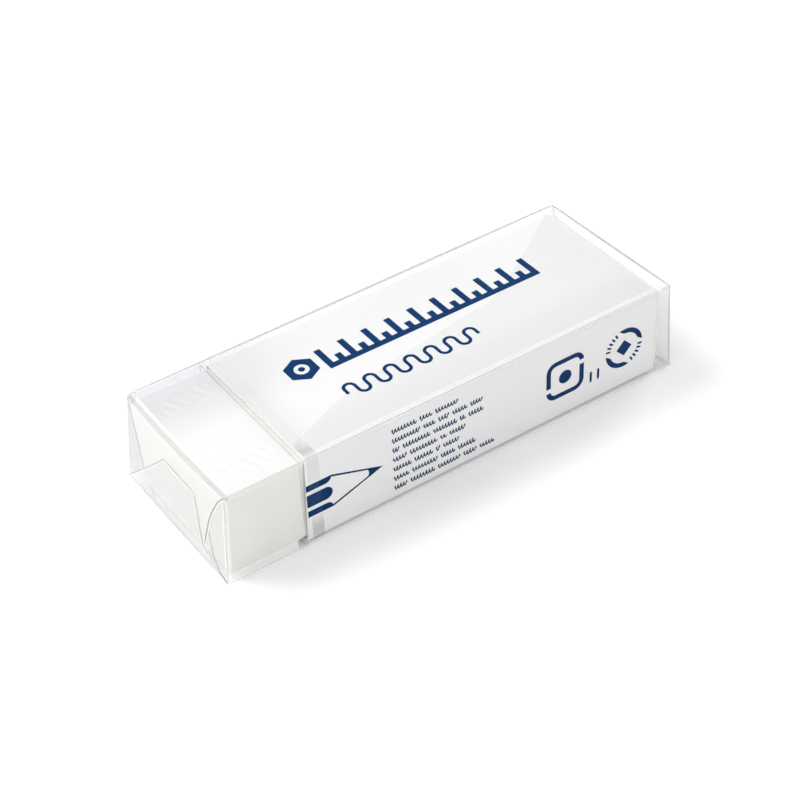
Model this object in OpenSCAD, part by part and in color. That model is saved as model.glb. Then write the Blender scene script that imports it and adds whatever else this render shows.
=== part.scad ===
// A new vinyl eraser in its printed card sleeve, sealed in clear film with a tear tape.
// Millimetres. The origin is the middle of the film's bottom face. +X runs from the bare
// end of the block to the covered end, -Y is the printed long side and +Z is up.

/* [Eraser block] */
// Length of the vinyl block
block_l = 65; // [60:0.5:90]
// Width of the block, front to back
block_w = 22; // [20:0.5:32]
// Height of the block
block_h = 11.8; // [9:0.1:16]
// Radius of all the block's edges
block_edge_r = 0.7; // [0.2:0.05:2]
// Length of the block that shows bare beyond the sleeve's mouth
bare_l = 10.5; // [4:0.5:12]
// How far the block stands out of the sleeve's far end
far_out = 1; // [0.2:0.1:3]

/* [Card sleeve] */
// Thickness of the card
card_t = 0.3; // [0.2:0.05:0.8]
// Inner radius of the card's folds
fold_r = 0.6; // [0.2:0.05:0.8]
// Play between the block and the card beside and above it
slide_gap = 0.2; // [0.05:0.05:0.4]
// Width of the lap that is glued down inside the bottom panel
lap_w = 16; // [6:0.5:17]
// Thickness of the glue under the lap
glue_t = 0.05; // [0.02:0.01:0.15]
// Bare card left round the glue
glue_margin = 1; // [0.2:0.1:2]
// How far the bottom panel's free edge stops short of the back fold
panel_short = 0.3; // [0:0.1:2]

/* [Clear film] */
// Thickness of the film
film_t = 0.05; // [0.02:0.01:0.1]
// Radius of the film's four long edges
film_edge_r = 0.4; // [0.2:0.05:1]
// Slack between the sleeve and the film at each long side
film_gap_side = 0.65; // [0.1:0.05:1]
// Slack between the sleeve and the film above it
film_gap_top = 0.3; // [0.1:0.05:1]
// Slack between the block's bare end and the folded film
film_gap_near = 0.75; // [0.1:0.05:2]
// Slack between the block's covered end and the folded film
film_gap_far = 1.25; // [0.1:0.05:2]
// How far the bottom end flap laps over the top one
flap_overlap = 5.6; // [2:0.1:6.5]
// Width of the welded seam along the bottom
seam_w = 6; // [3:0.5:10]

/* [Tear tape] */
// Width of the tear tape
tape_w = 1.6; // [1:0.1:4]
// Thickness of the tear tape
tape_t = 0.05; // [0.02:0.01:0.1]
// Distance from the sleeve's mouth to the tape
tape_from_mouth = 0.3; // [0:0.1:5]

/* [Print on top] */
// Thickness of the printed ink
ink_t = 0.02; // [0.01:0.01:0.05]
// Width across the flats of the pencil-end mark
mark_w = 4; // [2:0.1:6]
// Distance from the mouth to the middle of the pencil-end mark
mark_x = 9; // [4:0.1:12]
// Distance of the mark and the measuring scale behind the middle line
scale_y = 3; // [1:0.1:5]
// Height of the measuring scale's long strokes
scale_h = 4.2; // [2:0.1:6]
// Pitch of the long strokes
scale_pitch = 3.5; // [2:0.1:6]
// Width of the long strokes and of the base line
scale_stroke = 0.9; // [0.3:0.05:1.5]
// Bare card between the scale and the sleeve's far end
scale_margin = 9; // [3:0.5:14]
// Distance of the wavy line before the middle line
wave_y = 4; // [2:0.1:6]
// Length of the wavy line
wave_l = 20; // [8:0.5:30]
// Height of the wavy line
wave_h = 2.9; // [2:0.1:4]
// Pitch from one bend of the wavy line to the next
wave_pitch = 1.5; // [1.2:0.1:3]
// Width of the wavy line's stroke
wave_stroke = 0.45; // [0.2:0.05:0.8]

/* [Print on front] */
// Height of the pencil figure
pencil_h = 4.95; // [3:0.05:7]
// Length of its barrel from the mouth
pencil_barrel_l = 3.6; // [2:0.1:5]
// Length of its cone
pencil_cone_l = 7.2; // [4:0.1:9]
// Length of its solid lead
pencil_lead_l = 2.3; // [1:0.1:4]
// White gap between the barrel's three flutes
flute_gap = 0.6; // [0.2:0.05:1]
// Line width of the cone
cone_line = 0.22; // [0.1:0.02:0.5]
// Distance from the pencil's point to the rows of dashes
rows_gap = 1.4; // [0.5:0.1:4]
// Pitch of the rows of dashes
row_pitch = 1.49; // [1.1:0.01:2.5]
// Thickness of a dash
dash_h = 0.4; // [0.2:0.05:0.9]
// Bare card between two dashes
dash_gap = 0.5; // [0.2:0.05:1]
// Width and height of the square mark and of the round mark
badge_w = 6; // [4:0.1:7]
// Line width of the two marks
badge_stroke = 0.7; // [0.3:0.05:1.2]
// Distance from the sleeve's far end to the round mark
badge_margin = 2.2; // [1:0.1:4]
// Length of the two short strokes between the marks
stroke_l = 1.7; // [1:0.1:3]
// Distance between the marks, which holds the two short strokes
badge_gap = 3.6; // [2.6:0.1:6]

/* [Hidden] */
$fn = 48;

// The end folds are five sheets deep: tucks, top triangles, top flap, bottom triangles, bottom flap
fold_layers = 5;
film_end = fold_layers * film_t;
film_l = film_end + film_gap_near + block_l + film_gap_far + film_end;
// The sleeve stands on the seam or the tape, whichever is thicker
floor_z = film_t + max(film_t, tape_t);

sleeve_l = block_l - bare_l - far_out;
sleeve_w = block_w + 2 * (slide_gap + card_t);
lap_z = floor_z + card_t + glue_t;
block_z = lap_z + card_t;
sleeve_top = block_z + block_h + slide_gap + card_t;
sleeve_mid = (floor_z + sleeve_top) / 2;
bend_r = fold_r + card_t;

film_w = sleeve_w + 2 * (film_gap_side + film_t);
film_h = sleeve_top + film_gap_top + film_t;
flap_d = (film_h + flap_overlap) / 2;

block_x = film_end + film_gap_near - film_l / 2;
mouth_x = block_x + bare_l;
tape_x = mouth_x + tape_from_mouth;

// Lengths of the dashes in each printed row
dash_rows = [
    [3.6, 1.8, 3.4],
    [4.1, 1.7, 1.6, 2.2, 1.9],
    [1.0, 4.0, 3.5, 0.8, 2.2],
    [2.0, 4.0, 0.9, 2.4],
    [2.6, 2.7, 0.6, 2.4],
    [2.2, 3.8, 2.1, 2.6],
    [1.9, 3.6, 3.4, 2.0, 2.2]
];
// Height of the front panel between its folds, and the rows that fit on it
front_flat = sleeve_top - floor_z - 2 * bend_r;
rows_shown = min(len(dash_rows), floor(front_flat / row_pitch));

// A rectangle with round corners, centred on X and standing on the axis
module round_rect(w, h, r) {
    translate([r - w / 2, 0]) square([w - 2 * r, h]);
    translate([-w / 2, r]) square([w, h - 2 * r]);
    for (x = [r - w / 2, w / 2 - r])
        for (y = [r, h - r])
            translate([x, y]) circle(r);
}

// Draws a Y-Z outline from x to x + length
module along_x(x, length) {
    translate([x, 0, 0])
        rotate([90, 0, 90])
            linear_extrude(length)
                children();
}

// Rounds all twelve edges: what three crossing prisms with round corners share
module eraser_block() {
    middle = block_x + block_l / 2;
    color("#e6e7e0")
        intersection() {
            along_x(block_x, block_l)
                translate([0, block_z])
                    round_rect(block_w, block_h, block_edge_r);
            translate([middle, block_w / 2, block_z])
                rotate([90, 0, 0])
                    linear_extrude(block_w)
                        round_rect(block_l, block_h, block_edge_r);
            translate([middle, -block_w / 2, block_z])
                linear_extrude(block_h)
                    round_rect(block_l, block_w, block_edge_r);
        }
}

// A quarter turn of the card about its fold, from the angle start
module fold(centre, start) {
    translate(centre)
        rotate(start)
            intersection() {
                difference() {
                    circle(bend_r);
                    circle(fold_r);
                }
                square(bend_r);
            }
}

// One sheet in section: bottom panel, front, top, back, and the lap that ends inside the bottom
module sleeve_section() {
    in = sleeve_w / 2 - bend_r;
    front_z = floor_z + bend_r;
    back_z = lap_z + bend_r;
    top_z = sleeve_top - bend_r;
    translate([-in, floor_z]) square([2 * in - panel_short, card_t]);
    fold([-in, front_z], 180);
    translate([-sleeve_w / 2, front_z]) square([card_t, top_z - front_z]);
    fold([-in, top_z], 90);
    translate([-in, sleeve_top - card_t]) square([2 * in, card_t]);
    fold([in, top_z], 0);
    translate([sleeve_w / 2 - card_t, back_z]) square([card_t, top_z - back_z]);
    fold([in, back_z], 270);
    translate([in - lap_w, lap_z]) square([lap_w, card_t]);
}

module card_sleeve() {
    color("#f7f8fa")
        along_x(mouth_x, sleeve_l)
            sleeve_section();
}

// Glue between the bottom panel and the lap that lies on it
module lap_glue() {
    from = sleeve_w / 2 - bend_r - lap_w + glue_margin;
    to = sleeve_w / 2 - bend_r - panel_short - glue_margin;
    color("#e9e4cf")
        translate([mouth_x + glue_margin, from, floor_z + card_t])
            cube([sleeve_l - 2 * glue_margin, to - from, glue_t]);
}

// A bar with round ends, from the origin along X
module pill(length, width) {
    translate([width / 2, 0]) circle(width / 2);
    translate([length - width / 2, 0]) circle(width / 2);
    translate([width / 2, -width / 2]) square([length - width, width]);
}

// The end of a six-sided pencil: wood round its lead
module pencil_end(w) {
    difference() {
        rotate(30) circle(w / sqrt(3), $fn = 6);
        circle(w / 4);
    }
    circle(w / 9);
}

// A measuring scale: long strokes on a base line, with a short one between each pair
module measuring_scale(length) {
    strokes = floor((length - scale_stroke) / scale_pitch);
    run = strokes * scale_pitch;
    square([run + scale_stroke, scale_stroke]);
    for (i = [0 : strokes])
        translate([i * scale_pitch, 0])
            square([scale_stroke, scale_h]);
    for (i = [0 : strokes - 1])
        translate([(i + 0.5) * scale_pitch, 0])
            square([scale_stroke, scale_h / 2]);
}

// Half a ring whose middle line has half the wave's pitch as its radius
module wave_bend(up) {
    r = wave_pitch / 2;
    intersection() {
        difference() {
            circle(r + wave_stroke / 2);
            circle(r - wave_stroke / 2);
        }
        translate([-wave_pitch, up ? 0 : -wave_pitch])
            square([2 * wave_pitch, wave_pitch]);
    }
}

// A line that runs up and down, with a round bend at each end of its straights
module wavy_line() {
    straight = wave_h - wave_pitch - wave_stroke;
    bends = floor((wave_l - wave_stroke) / wave_pitch);
    for (i = [0 : bends])
        translate([i * wave_pitch - wave_stroke / 2, -straight / 2])
            square([wave_stroke, straight]);
    for (i = [0 : bends - 1])
        translate([(i + 0.5) * wave_pitch, (i % 2 == 0 ? 0.5 : -0.5) * straight])
            wave_bend(i % 2 == 0);
}

module top_print() {
    scale_x = mark_x + mark_w * 0.75;
    color("#1f4f96")
        translate([mouth_x, 0, sleeve_top])
            linear_extrude(ink_t) {
                translate([mark_x, scale_y]) pencil_end(mark_w);
                translate([scale_x, scale_y - scale_h / 2])
                    measuring_scale(sleeve_l - scale_margin - scale_x);
                translate([mark_x + mark_w / 2, -wave_y]) wavy_line();
            }
}

// Three flutes with round ends, the outer ones cut along the barrel's sides
module pencil_barrel() {
    middle_h = (pencil_h - 2 * flute_gap) / 2;
    intersection() {
        for (side = [-1, 0, 1])
            translate([-middle_h, side * (middle_h + flute_gap)])
                pill(middle_h + pencil_barrel_l, middle_h);
        translate([0, -pencil_h / 2]) square([pencil_barrel_l, pencil_h]);
    }
}

// An open cone with a solid lead that starts on a hollow curve
module pencil_cone() {
    hollow_r = pencil_h / 5;
    slope = pencil_h / 2 / pencil_cone_l;
    difference() {
        polygon([[0, pencil_h / 2], [0, -pencil_h / 2], [pencil_cone_l, 0]]);
        polygon([
            [-cone_line, pencil_h / 2 - cone_line],
            [-cone_line, cone_line - pencil_h / 2],
            [pencil_cone_l - cone_line / slope, 0]
        ]);
    }
    difference() {
        lead_h = pencil_lead_l * slope;
        polygon([
            [pencil_cone_l - pencil_lead_l, lead_h],
            [pencil_cone_l - pencil_lead_l, -lead_h],
            [pencil_cone_l, 0]
        ]);
        translate([pencil_cone_l - pencil_lead_l - hollow_r * 0.7, 0]) circle(hollow_r);
    }
}

// Distance from the start of a row to its dash number i
function dash_start(row, i) = i == 0 ? 0 : dash_start(row, i - 1) + row[i - 1] + dash_gap;

module dashes() {
    for (r = [0 : rows_shown - 1])
        for (i = [0 : len(dash_rows[r]) - 1])
            translate([dash_start(dash_rows[r], i), ((rows_shown - 1) / 2 - r) * row_pitch])
                pill(dash_rows[r][i], dash_h);
}

// A square line with round corners, open at two opposite corners, round a dot
module square_badge(w, stroke) {
    translate([w / 2, 0])
        difference() {
            translate([0, -w / 2]) round_rect(w, w, w / 4);
            translate([0, stroke - w / 2]) round_rect(w - 2 * stroke, w - 2 * stroke, w / 4 - stroke);
            for (side = [-1, 1])
                translate([side * w / 2, side * w / 5])
                    square([3 * stroke, stroke], center = true);
        }
    translate([w / 2, 0]) circle(w / 6);
}

// Two arcs of a ring with dashes across the gaps between them, round a small square
module round_badge(w, stroke) {
    middle_r = (w - stroke) / 2;
    gap_side = 0.62 * w;
    translate([w / 2, 0]) {
        difference() {
            circle(w / 2);
            circle(w / 2 - stroke);
            rotate(-35) square([2 * w, gap_side], center = true);
        }
        for (side = [-35, 145])
            for (step = [-2 : 2])
                rotate(side + step * 13)
                    translate([middle_r, 0])
                        square([stroke, stroke * 0.4], center = true);
        rotate(45) square(w / 3.4, center = true);
    }
}

// Lays flat ink on the front panel, from the mouth and the panel's middle height
module on_front() {
    translate([mouth_x, -sleeve_w / 2, sleeve_mid])
        rotate([90, 0, 0])
            linear_extrude(ink_t)
                children();
}

// The pencil figure, the two marks and the short strokes between them
module front_print() {
    round_x = sleeve_l - badge_margin - badge_w;
    square_x = round_x - badge_gap - badge_w;
    color("#0f4a94")
        on_front() {
            pencil_barrel();
            translate([pencil_barrel_l, 0]) pencil_cone();
            translate([square_x, 0]) square_badge(badge_w, badge_stroke);
            for (i = [1, 2])
                translate([square_x + badge_w + i * badge_gap / 3, -badge_w / 2])
                    rotate(90)
                        pill(stroke_l, badge_stroke / 2);
            translate([round_x, 0]) round_badge(badge_w, badge_stroke);
        }
}

// Rows of dashes from the pencil's point onwards
module row_print() {
    color("#0f4a94")
        on_front()
            translate([pencil_barrel_l + pencil_cone_l + rows_gap, 0])
                dashes();
}

// The film's section, or what lies inside it at a distance from its outer face
module film_outline(inset) {
    translate([0, inset])
        round_rect(film_w - 2 * inset, film_h - 2 * inset, film_edge_r - inset);
}

// A band on the inner face of the film, cut where the seam runs
module tear_tape() {
    color("#d9dcdf", 0.5)
        along_x(tape_x, tape_w)
            difference() {
                film_outline(film_t);
                film_outline(film_t + tape_t);
                translate([-seam_w / 2, 0]) square([seam_w, floor_z]);
            }
}

// The top flap of an end fold: 45 degree creases run from the upper corners to its free edge
module top_flap() {
    half = film_w / 2;
    intersection() {
        film_outline(0);
        polygon([
            [half, film_h],
            [-half, film_h],
            [flap_d - half, film_h - flap_d],
            [half - flap_d, film_h - flap_d]
        ]);
    }
}

// What the creases turn under the top flap: a triangle at each upper corner
module top_triangles() {
    half = film_w / 2;
    intersection() {
        film_outline(0);
        for (side = [-1, 1])
            polygon([
                [side * half, film_h],
                [side * (half - flap_d), film_h],
                [side * (half - flap_d), film_h - flap_d]
            ]);
    }
}

// The same pieces upside down, for the bottom flap
module upside_down() {
    translate([0, film_h])
        mirror([0, 1])
            children();
}

// The tucks: the film's long sides turned in flat against the end
module side_tucks() {
    intersection() {
        film_outline(0);
        for (side = [-1, 1])
            translate([side * (film_w - flap_d) / 2, film_h / 2])
                square([flap_d, film_h], center = true);
    }
}

// The strip by which a flap's wall runs on past the layers beneath it
module wall_strip() {
    intersection() {
        film_outline(0);
        translate([-film_w / 2, 0]) square([film_w, film_t]);
    }
}

// Five sheets on the end of the tube, from the inside outwards, with x as the tube's end
module end_fold(x) {
    along_x(x, film_t)
        side_tucks();
    along_x(x, film_t)
        upside_down() wall_strip();
    along_x(x + film_t, film_t)
        top_triangles();
    along_x(x + film_t, film_t)
        upside_down() wall_strip();
    along_x(x + 2 * film_t, film_t)
        top_flap();
    along_x(x, 4 * film_t)
        wall_strip();
    along_x(x + 3 * film_t, film_t)
        upside_down() top_triangles();
    along_x(x + 4 * film_t, film_t)
        upside_down() top_flap();
}

// The whole wrap is one sheet: a tube welded along the bottom, folded shut at both ends.
// The weld ends where the film starts to turn up into the end folds.
module film_wrap() {
    tube_end = film_l / 2 - film_end;
    weld_end = tube_end - film_edge_r;
    color("#dfe6ea", 0.35) {
        along_x(-tube_end, 2 * tube_end)
            difference() {
                film_outline(0);
                film_outline(film_t);
            }
        translate([-weld_end, -seam_w / 2, film_t])
            cube([2 * weld_end, seam_w, film_t]);
        end_fold(tube_end);
        mirror([1, 0, 0]) end_fold(tube_end);
    }
}

eraser_block();
card_sleeve();
lap_glue();
top_print();
front_print();
row_print();
tear_tape();
film_wrap();
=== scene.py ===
# %% [markdown]
# A new vinyl eraser in its printed card sleeve, sealed in clear film.
#
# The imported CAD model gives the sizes. This lesson dresses it in Blender: each piece is a
# surface worked out with numpy, and each material starts from what the real one is made of.
# Lengths are written in millimetres and turned to metres where a mesh is made.

from math import cos, pi, radians, sin

import bmesh
import bpy
import numpy as np
from mathutils import Matrix, Vector


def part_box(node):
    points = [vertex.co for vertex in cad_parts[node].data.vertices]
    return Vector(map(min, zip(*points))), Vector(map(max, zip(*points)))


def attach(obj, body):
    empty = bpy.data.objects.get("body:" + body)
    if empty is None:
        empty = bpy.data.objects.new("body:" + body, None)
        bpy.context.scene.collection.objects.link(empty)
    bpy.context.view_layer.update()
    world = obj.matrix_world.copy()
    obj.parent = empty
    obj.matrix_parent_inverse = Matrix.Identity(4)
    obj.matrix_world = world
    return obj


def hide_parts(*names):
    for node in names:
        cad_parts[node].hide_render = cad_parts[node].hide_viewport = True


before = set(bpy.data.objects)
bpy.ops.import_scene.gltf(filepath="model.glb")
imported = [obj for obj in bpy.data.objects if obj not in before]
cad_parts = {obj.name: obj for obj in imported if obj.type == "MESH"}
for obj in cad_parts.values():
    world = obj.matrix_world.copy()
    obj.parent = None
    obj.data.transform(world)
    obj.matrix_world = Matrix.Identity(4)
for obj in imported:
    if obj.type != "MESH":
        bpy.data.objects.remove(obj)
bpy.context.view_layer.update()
MM = 0.001
print("CAD nodes:", ", ".join(sorted(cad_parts)))

# %% [markdown]
# Everything that touches something else is placed from the CAD nodes' own boxes. The block
# lies in the sleeve, the sleeve in the film, and the print on the sleeve, so each of these
# boxes is read once, in millimetres.

# %% Read the boxes of the CAD nodes


def box_mm(node):
    """Lowest and highest corner of a CAD node in millimetres."""
    low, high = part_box(node)
    return np.array(low) / MM, np.array(high) / MM


BLOCK_LOW, BLOCK_HIGH = box_mm("eraser_block")
SLEEVE_LOW, SLEEVE_HIGH = box_mm("card_sleeve")
FILM_LOW, FILM_HIGH = box_mm("film_wrap")
TAPE_LOW, TAPE_HIGH = box_mm("tear_tape")
ROWS_LOW, ROWS_HIGH = box_mm("row_print")
print("film box, mm:", FILM_LOW.round(2), FILM_HIGH.round(2))

# %% [markdown]
# The picture is taken from above the bare end, with a long lens close to the pack. The
# camera's place is given as an angle round the pack, an angle above the table and a
# distance from a point on the table. A little roll tips the long edges as in the photograph.

# %% Place the camera
AZIMUTH, ELEVATION, ROLL = radians(-32.794), radians(39.614), radians(-3.012)
DISTANCE, AIM_RIGHT, AIM_BACK = 244.99, -0.916, 2.713
LENS = 85.646

back = Vector((sin(AZIMUTH) * cos(ELEVATION), -cos(AZIMUTH) * cos(ELEVATION), sin(ELEVATION)))
level = Vector((cos(AZIMUTH), sin(AZIMUTH), 0))
above = back.cross(level)
right = cos(ROLL) * level + sin(ROLL) * above
upward = -sin(ROLL) * level + cos(ROLL) * above
place = (AIM_RIGHT * level + AIM_BACK * above + DISTANCE * back) * MM
camera = bpy.data.objects.new("camera", bpy.data.cameras.new("camera"))
camera.data.lens = LENS
camera.data.sensor_width = 36
camera.data.clip_start = 0.01
camera.matrix_world = Matrix.Translation(place) @ Matrix((right, upward, back)).transposed().to_4x4()
bpy.context.scene.collection.objects.link(camera)
bpy.context.scene.camera = camera
print("camera at, mm:", [round(v / MM, 1) for v in place])

# %% [markdown]
# Each kind of node is added in the same way: its kind, its settings, and what goes into its
# sockets, which is either a constant or another node's output. Colours are written as sRGB
# hex, as on a swatch, and turned to the linear light that the renderer works in.

# %% Helpers for colours and nodes


def swatch(code):
    """Linear RGBA from an sRGB hex code: each part is undone by the sRGB curve."""
    parts = np.array([int(code[i:i + 2], 16) for i in (1, 3, 5)]) / 255
    linear = np.where(parts <= 0.04045, parts / 12.92, ((parts + 0.055) / 1.055) ** 2.4)
    return (*linear.tolist(), 1.0)


def put(tree, kind, sockets=None, **settings):
    """Adds one node. sockets maps an input to a constant or to an output that feeds it."""
    made = tree.nodes.new(kind)
    for name, value in settings.items():
        setattr(made, name, value)
    for name, value in (sockets or {}).items():
        if isinstance(value, bpy.types.NodeSocket):
            tree.links.new(value, made.inputs[name])
        else:
            made.inputs[name].default_value = value
    return made


def new_material(name):
    """An empty material with its output node."""
    made = bpy.data.materials.new(name)
    made.use_nodes = True
    made.node_tree.nodes.clear()
    return made, made.node_tree, put(made.node_tree, "ShaderNodeOutputMaterial")


def seen_directly(tree):
    """1 for rays from the camera, in a mirror image or through glass, and 0 for the rest."""
    ray = put(tree, "ShaderNodeLightPath").outputs
    either = put(tree, "ShaderNodeMath", {0: ray["Is Camera Ray"], 1: ray["Is Glossy Ray"]},
                 operation="MAXIMUM")
    return put(tree, "ShaderNodeMath", {0: either.outputs[0], 1: ray["Is Transmission Ray"]},
               operation="MAXIMUM").outputs[0]


# %% [markdown]
# Most pieces here are boxes with round edges or thin sheets. A box with round edges is a
# plain core box that is blown up by the edge radius: every point of the core moves outwards
# along its normal. The same core blown up by a little less gives the inner face of a wall,
# so that a film of even thickness is two such surfaces.

# %% Surfaces from grids


def grid_faces(rows, columns, wrap=False, first=0):
    """Quads of a grid of points stored row by row. With wrap, the last column meets the first."""
    r, c = np.meshgrid(np.arange(rows - 1), np.arange(columns - (not wrap)), indexing="ij")
    after = (c + 1) % columns
    here, below = r * columns, (r + 1) * columns
    return np.stack([here + c, here + after, below + after, below + c], -1).reshape(-1, 4) + first


def outward(points, faces):
    """The surface with its faces turned outwards: its volume, the sum of a . (b x c) / 6, is above 0."""
    a, b, c, d = (points[faces[:, k]] for k in range(4))
    held = np.sum(a * np.cross(b, c) + a * np.cross(c, d)) / 6
    return points, faces if held > 0 else faces[:, ::-1]


def blown_box(xs, ys, zs, radius, arc=6):
    """Points and quads of a core box inflated by radius.

    A ring round the core at x holds point = core + radius * cos(a) * n, with n the ring's normal,
    and x moves by radius * sin(a). The angle a runs from 90 degrees at the near end to 0 on the
    body and on to 90 at the far end. A flat grid closes each end."""
    straight = [np.stack([ys, np.full_like(ys, zs[0])], -1),
                np.stack([np.full_like(zs, ys[-1]), zs], -1),
                np.stack([ys[::-1], np.full_like(ys, zs[-1])], -1),
                np.stack([np.full_like(zs, ys[0]), zs[::-1]], -1)]
    core, normal = [], []
    for side, line in enumerate(straight):
        facing = side * pi / 2 - pi / 2
        turn = facing + np.linspace(0, pi / 2, arc + 1)[1:-1]
        core += [line, np.repeat(line[-1:], arc - 1, 0)]
        normal += [np.tile([cos(facing), sin(facing)], (len(line), 1)),
                   np.stack([np.cos(turn), np.sin(turn)], -1)]
    core, normal = np.concatenate(core), np.concatenate(normal)
    bend = np.linspace(pi / 2, 0, arc + 1)
    angle = np.concatenate([-bend[:-1], np.zeros(len(xs)), bend[::-1][1:]])
    along = np.concatenate([np.full(arc, xs[0]), xs, np.full(arc, xs[-1])])
    rings = np.empty((len(along), len(core), 3))
    rings[..., 0] = (along + radius * np.sin(angle))[:, None]
    rings[..., 1:] = core + radius * np.cos(angle)[:, None, None] * normal
    body = rings.reshape(-1, 3)
    faces = [grid_faces(len(along), len(core), True)]
    points = [body]
    y, z = np.meshgrid(ys, zs, indexing="ij")
    for x, turned in ((xs[0] - radius, False), (xs[-1] + radius, True)):
        quads = grid_faces(len(ys), len(zs), first=sum(map(len, points)))
        faces.append(quads[:, ::-1] if turned else quads)
        points.append(np.stack([np.full_like(y, x), y, z], -1).reshape(-1, 3))
    return outward(np.concatenate(points), np.concatenate(faces))


def sheet(middle, normal, thickness):
    """A closed sheet round a grid of middle points: half the thickness each way along the normals."""
    rows, columns = middle.shape[:2]
    count = rows * columns
    points = np.concatenate([(middle + normal * thickness / 2).reshape(-1, 3),
                             (middle - normal * thickness / 2).reshape(-1, 3)])
    top = grid_faces(rows, columns)
    index = np.arange(count).reshape(rows, columns)
    rim = np.concatenate([index[0, :], index[1:, -1], index[-1, -2::-1], index[-2:0:-1, 0]])
    following = np.roll(rim, -1)
    walls = np.stack([rim, rim + count, following + count, following], -1)
    return outward(points, np.concatenate([top, top[:, ::-1] + count, walls]))


def tube(path, radius, sides=8, across=(1.0, 0.0, 0.0)):
    """A tube along a path: point = path + radius * (cos(a) * across + sin(a) * side).

    It closes where its radius is 0."""
    across = np.array(across)
    along = np.gradient(path, axis=0)
    along /= np.linalg.norm(along, axis=1, keepdims=True)
    side = np.cross(along, across)
    side /= np.linalg.norm(side, axis=1, keepdims=True)
    angle = np.linspace(0, 2 * pi, sides, endpoint=False)
    ring = np.cos(angle)[:, None] * across + np.sin(angle)[:, None] * side[:, None, :]
    points = path[:, None, :] + np.asarray(radius)[:, None, None] * ring
    return outward(points.reshape(-1, 3), grid_faces(len(path), sides, True))


def joined(parts):
    """Several (points, quads) as one."""
    starts = np.cumsum([0] + [len(p) for p, _ in parts[:-1]])
    points = np.concatenate([points for points, _ in parts])
    return points, np.concatenate([faces + start for (_, faces), start in zip(parts, starts)])


# %% [markdown]
# A piece is a mesh whose object stays at the origin, so that patterns on its coordinates
# stay put. Doubled points are merged, so that grids that share a border become one closed
# skin, and the sharp edges are kept crisp while the rest is shaded smooth.

# %% Turn a surface into a piece


def piece(name, surface, materials, stands_for=(), slots=None, merge=0.002):
    """Builds the mesh in metres, merges points nearer than merge, and makes it ride on the pack.

    slots gives each face its material, and edges sharper than 40 degrees stay crisp."""
    points, faces = surface
    mesh = bpy.data.meshes.new(name)
    mesh.from_pydata((points * MM).tolist(), [], faces.tolist())
    if slots is not None:
        mesh.polygons.foreach_set("material_index", np.asarray(slots, np.int32))
    work = bmesh.new()
    work.from_mesh(mesh)
    bmesh.ops.remove_doubles(work, verts=work.verts, dist=merge * MM)
    ragged = sum(not edge.is_manifold for edge in work.edges)
    held = work.calc_volume(signed=True) / MM ** 3
    work.to_mesh(mesh)
    work.free()
    for material in materials:
        mesh.materials.append(material)
    mesh.shade_smooth()
    mesh.set_sharp_from_angle(angle=radians(40))
    made = bpy.data.objects.new(name, mesh)
    bpy.context.scene.collection.objects.link(made)
    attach(made, "root")
    if stands_for:
        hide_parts(*stands_for)
    print(f"{name}: {len(mesh.polygons)} faces, {ragged} open edges, holds {held:.2f} mm3")
    return made


def mark(made, name, rule):
    """Stores rule(x, y, z), with the place in mm, as a named value at each vertex."""
    spots = np.empty(3 * len(made.data.vertices), np.float32)
    made.data.vertices.foreach_get("co", spots)
    values = rule(*spots.reshape(-1, 3).T / MM).astype(np.float32)
    made.data.attributes.new(name, "FLOAT", "POINT").data.foreach_set("value", values)


# %% [markdown]
# The block is plasticised PVC, called vinyl: white filler in a soft plastic, cut from a
# long extruded bar. It is matt and slightly see-through at its edges, so a little
# subsurface light softens them. The pressed skin has a very fine grain.

# %% Vinyl of the block


def soft_vinyl():
    """Filled soft vinyl: off-white, matt, a little light passing under the skin."""
    made, tree, output = new_material("soft_filled_vinyl")
    spot = put(tree, "ShaderNodeTexCoord").outputs["Object"]
    # Cloudy filler over about 4 mm
    cloud = put(tree, "ShaderNodeTexNoise", {"Vector": spot, "Scale": 250.0, "Detail": 2.0})
    tone = put(tree, "ShaderNodeMix", {0: cloud.outputs[0], 6: swatch("#EFEFE9"), 7: swatch("#F5F5F1")},
               data_type="RGBA").outputs[2]
    rough = put(tree, "ShaderNodeMapRange", {0: cloud.outputs[0], 3: 0.48, 4: 0.62})
    # Skin grain of about 0.25 mm
    grain = put(tree, "ShaderNodeTexNoise", {"Vector": spot, "Scale": 4000.0, "Detail": 2.0})
    relief = put(tree, "ShaderNodeBump", {"Height": grain.outputs[0], "Strength": 0.12, "Distance": 0.00003})
    skin = put(tree, "ShaderNodeBsdfPrincipled", {
        "Base Color": tone, "Roughness": rough.outputs[0], "Normal": relief.outputs[0],
        "IOR": 1.53, "Specular IOR Level": 0.25, "Subsurface Weight": 0.12,
        "Subsurface Radius": (1.0, 0.9, 0.75), "Subsurface Scale": 0.0008})
    tree.links.new(skin.outputs[0], output.inputs[0])
    return made


VINYL = soft_vinyl()

# %% [markdown]
# A cut bar of vinyl is never a perfect box. Its broad faces sink a little between the edges
# as it cools, so its corners touch the sleeve first and a dark gap shows beside them. What
# stands out of the sleeve droops a little towards the table. The bare end carries two short
# rows of shallow slanting bars, pressed into its top as grip.

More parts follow.
